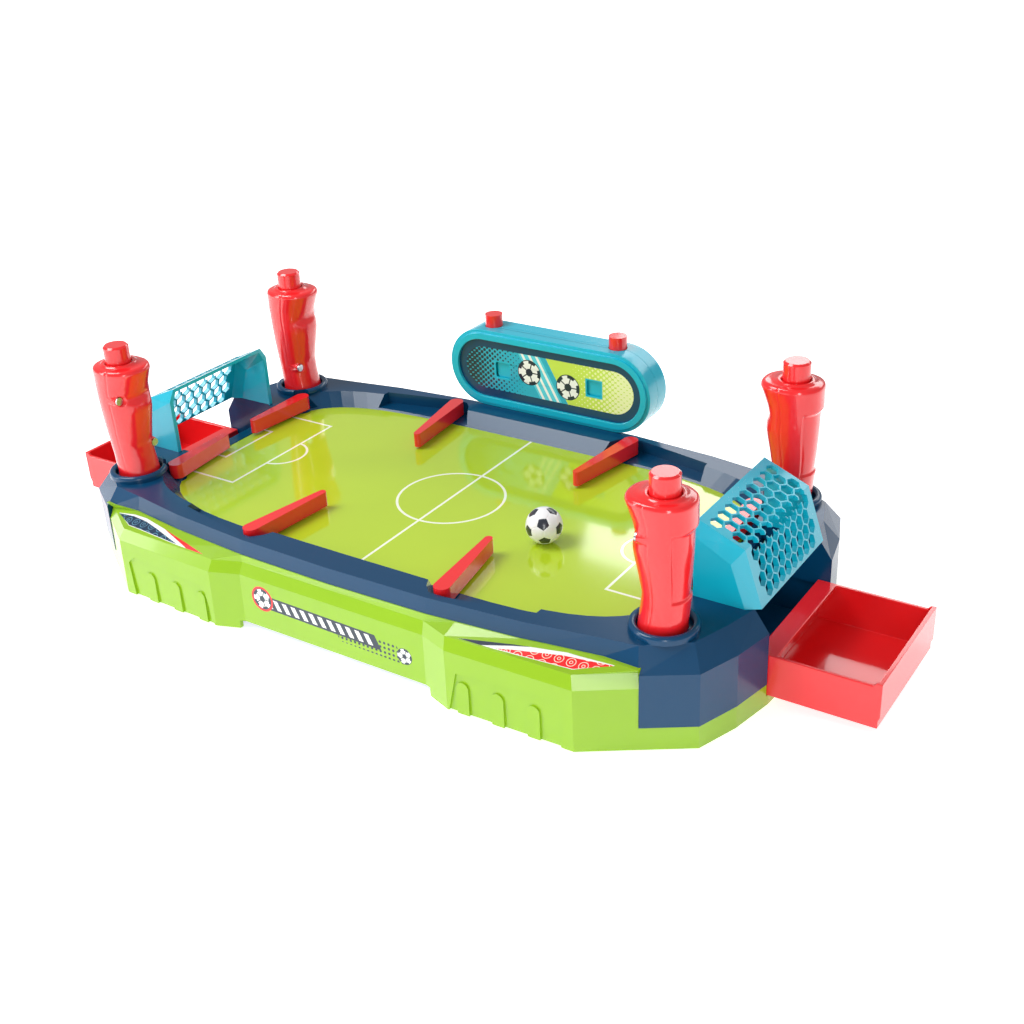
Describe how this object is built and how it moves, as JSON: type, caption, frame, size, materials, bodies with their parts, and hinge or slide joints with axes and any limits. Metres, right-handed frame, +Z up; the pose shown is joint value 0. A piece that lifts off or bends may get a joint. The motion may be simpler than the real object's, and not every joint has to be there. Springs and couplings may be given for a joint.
{
  "type": "tabletop foosball",
  "caption": "Tabletop foosball played with thumb buttons on upright grips that kick paired flippers, with mesh goals, ball drawers and a score counter.",
  "frame": {"origin": "middle of the game on the table, at the underside of the centre foot", "axes": "+X along the game towards the right goal, +Y across it towards the scoreboard, +Z up"},
  "size_m": [0.615, 0.281, 0.1535],
  "materials": {
    "lime_plastic": "glossy moulded, lime green",
    "navy_plastic": "glossy moulded, navy blue",
    "red_plastic": "glossy moulded, red",
    "teal_plastic": "glossy moulded, turquoise",
    "white_plastic": "smooth moulded, off-white",
    "pitch_print": "glossy board printed with white pitch lines",
    "score_print": "printed panel with plain shapes",
    "ball_print": "white with dark panels",
    "steel": "plated screws",
    "spring_steel": "bright spring wire",
    "foot_rubber": "matt black"
  },
  "bodies": {
    "housing": {"base_housing": "lime_plastic", "bottom_cover": "navy_plastic", "top_frame": "navy_plastic", "pitch_board": "pitch_print", "left_goal": "teal_plastic", "right_goal": "teal_plastic", "rubber_feet": "foot_rubber", "cover_screws": "steel", "grip_screws": "steel", "scoreboard_front": "teal_plastic", "scoreboard_back": "teal_plastic", "score_panel": "score_print", "scoreboard_screws": "steel", "front_left_grip_inner": "red_plastic", "front_left_grip_outer": "red_plastic", "front_left_spring": "spring_steel", "front_right_grip_inner": "red_plastic", "front_right_grip_outer": "red_plastic", "front_right_spring": "spring_steel", "rear_left_grip_inner": "red_plastic", "rear_left_grip_outer": "red_plastic", "rear_left_spring": "spring_steel", "rear_right_grip_inner": "red_plastic", "rear_right_grip_outer": "red_plastic", "rear_right_spring": "spring_steel"},
    "front_left_plunger": {"front_left_plunger": "red_plastic"},
    "front_left_drive_bar": {"front_left_drive_bar": "white_plastic"},
    "front_left_side_flipper": {"front_left_side_flipper": "red_plastic", "front_left_side_crank": "white_plastic"},
    "front_left_goal_flipper": {"front_left_goal_flipper": "red_plastic", "front_left_goal_crank": "white_plastic"},
    "front_right_plunger": {"front_right_plunger": "red_plastic"},
    "front_right_drive_bar": {"front_right_drive_bar": "white_plastic"},
    "front_right_side_flipper": {"front_right_side_flipper": "red_plastic", "front_right_side_crank": "white_plastic"},
    "front_right_goal_flipper": {"front_right_goal_flipper": "red_plastic", "front_right_goal_crank": "white_plastic"},
    "rear_left_plunger": {"rear_left_plunger": "red_plastic"},
    "rear_left_drive_bar": {"rear_left_drive_bar": "white_plastic"},
    "rear_left_side_flipper": {"rear_left_side_flipper": "red_plastic", "rear_left_side_crank": "white_plastic"},
    "rear_left_goal_flipper": {"rear_left_goal_flipper": "red_plastic", "rear_left_goal_crank": "white_plastic"},
    "rear_right_plunger": {"rear_right_plunger": "red_plastic"},
    "rear_right_drive_bar": {"rear_right_drive_bar": "white_plastic"},
    "rear_right_side_flipper": {"rear_right_side_flipper": "red_plastic", "rear_right_side_crank": "white_plastic"},
    "rear_right_goal_flipper": {"rear_right_goal_flipper": "red_plastic", "rear_right_goal_crank": "white_plastic"},
    "left_drawer": {"left_drawer": "red_plastic"},
    "left_score_button": {"left_score_button": "red_plastic"},
    "left_score_wheel": {"left_score_wheel": "teal_plastic"},
    "right_drawer": {"right_drawer": "red_plastic"},
    "right_score_button": {"right_score_button": "red_plastic"},
    "right_score_wheel": {"right_score_wheel": "teal_plastic"},
    "ball": {"game_ball": "ball_print"}
  },
  "joints": [
    {"name": "front_left_button_press", "type": "slide", "parent": "housing", "child": "front_left_plunger", "axis": [0, 0, -1], "range_m": [0, 0.00702], "stiffness_N_per_m": 400, "springref_m": -0.006, "deforming": ["front_left_spring"]},
    {"name": "front_left_bar_slide", "type": "slide", "parent": "housing", "child": "front_left_drive_bar", "axis": [1, 0, 0], "range_m": [0, 0.00702]},
    {"name": "front_left_side_flip", "type": "hinge", "parent": "housing", "child": "front_left_side_flipper", "pos_m": [-0.073, -0.11, 0.054], "axis": [0, 0, -1], "range_deg": [0, 34]},
    {"name": "front_left_goal_flip", "type": "hinge", "parent": "housing", "child": "front_left_goal_flipper", "pos_m": [-0.184, -0.065, 0.054], "axis": [0, 0, -1], "range_deg": [0, 34]},
    {"name": "front_right_button_press", "type": "slide", "parent": "housing", "child": "front_right_plunger", "axis": [0, 0, -1], "range_m": [0, 0.00702], "stiffness_N_per_m": 400, "springref_m": -0.006, "deforming": ["front_right_spring"]},
    {"name": "front_right_bar_slide", "type": "slide", "parent": "housing", "child": "front_right_drive_bar", "axis": [-1, 0, 0], "range_m": [0, 0.00702]},
    {"name": "front_right_side_flip", "type": "hinge", "parent": "housing", "child": "front_right_side_flipper", "pos_m": [0.073, -0.11, 0.054], "axis": [0, 0, 1], "range_deg": [0, 34]},
    {"name": "front_right_goal_flip", "type": "hinge", "parent": "housing", "child": "front_right_goal_flipper", "pos_m": [0.184, -0.065, 0.054], "axis": [0, 0, 1], "range_deg": [0, 34]},
    {"name": "rear_left_button_press", "type": "slide", "parent": "housing", "child": "rear_left_plunger", "axis": [0, 0, -1], "range_m": [0, 0.00702], "stiffness_N_per_m": 400, "springref_m": -0.006, "deforming": ["rear_left_spring"]},
    {"name": "rear_left_bar_slide", "type": "slide", "parent": "housing", "child": "rear_left_drive_bar", "axis": [1, 0, 0], "range_m": [0, 0.00702]},
    {"name": "rear_left_side_flip", "type": "hinge", "parent": "housing", "child": "rear_left_side_flipper", "pos_m": [-0.073, 0.11, 0.054], "axis": [0, 0, 1], "range_deg": [0, 34]},
    {"name": "rear_left_goal_flip", "type": "hinge", "parent": "housing", "child": "rear_left_goal_flipper", "pos_m": [-0.184, 0.065, 0.054], "axis": [0, 0, 1], "range_deg": [0, 34]},
    {"name": "rear_right_button_press", "type": "slide", "parent": "housing", "child": "rear_right_plunger", "axis": [0, 0, -1], "range_m": [0, 0.00702], "stiffness_N_per_m": 400, "springref_m": -0.006, "deforming": ["rear_right_spring"]},
    {"name": "rear_right_bar_slide", "type": "slide", "parent": "housing", "child": "rear_right_drive_bar", "axis": [-1, 0, 0], "range_m": [0, 0.00702]},
    {"name": "rear_right_side_flip", "type": "hinge", "parent": "housing", "child": "rear_right_side_flipper", "pos_m": [0.073, 0.11, 0.054], "axis": [0, 0, -1], "range_deg": [0, 34]},
    {"name": "rear_right_goal_flip", "type": "hinge", "parent": "housing", "child": "rear_right_goal_flipper", "pos_m": [0.184, 0.065, 0.054], "axis": [0, 0, -1], "range_deg": [0, 34]},
    {"name": "left_drawer_slide", "type": "slide", "parent": "housing", "child": "left_drawer", "axis": [-1, 0, 0], "range_m": [-0.059, 0]},
    {"name": "left_score_press", "type": "slide", "parent": "housing", "child": "left_score_button", "axis": [0, 0, -1], "range_m": [0, 0.004], "stiffness_N_per_m": 200, "springref_m": -0.003},
    {"name": "left_score_turn", "type": "hinge", "parent": "housing", "child": "left_score_wheel", "pos_m": [-0.0225, 0.1235, 0.0905], "axis": [0, 1, 0], "continuous": true},
    {"name": "right_drawer_slide", "type": "slide", "parent": "housing", "child": "right_drawer", "axis": [1, 0, 0], "range_m": [-0.059, 0]},
    {"name": "right_score_press", "type": "slide", "parent": "housing", "child": "right_score_button", "axis": [0, 0, -1], "range_m": [0, 0.004], "stiffness_N_per_m": 200, "springref_m": -0.003},
    {"name": "right_score_turn", "type": "hinge", "parent": "housing", "child": "right_score_wheel", "pos_m": [0.0225, 0.1235, 0.0905], "axis": [0, 1, 0], "continuous": true},
    {"name": "ball_roll_line", "type": "slide", "parent": "housing", "child": "ball", "axis": [1, 0, 0], "range_m": [-0.22, 0.05]}
  ],
  "couplings": [
    {"joint": "front_left_bar_slide", "follows": "front_left_button_press", "ratio": 1},
    {"joint": "front_left_side_flip", "follows": "front_left_button_press", "rad_per_m": 84.569},
    {"joint": "front_left_goal_flip", "follows": "front_left_button_press", "rad_per_m": 84.569},
    {"joint": "front_right_bar_slide", "follows": "front_right_button_press", "ratio": 1},
    {"joint": "front_right_side_flip", "follows": "front_right_button_press", "rad_per_m": 84.569},
    {"joint": "front_right_goal_flip", "follows": "front_right_button_press", "rad_per_m": 84.569},
    {"joint": "rear_left_bar_slide", "follows": "rear_left_button_press", "ratio": 1},
    {"joint": "rear_left_side_flip", "follows": "rear_left_button_press", "rad_per_m": 84.569},
    {"joint": "rear_left_goal_flip", "follows": "rear_left_button_press", "rad_per_m": 84.569},
    {"joint": "rear_right_bar_slide", "follows": "rear_right_button_press", "ratio": 1},
    {"joint": "rear_right_side_flip", "follows": "rear_right_button_press", "rad_per_m": 84.569},
    {"joint": "rear_right_goal_flip", "follows": "rear_right_button_press", "rad_per_m": 84.569}
  ]
}
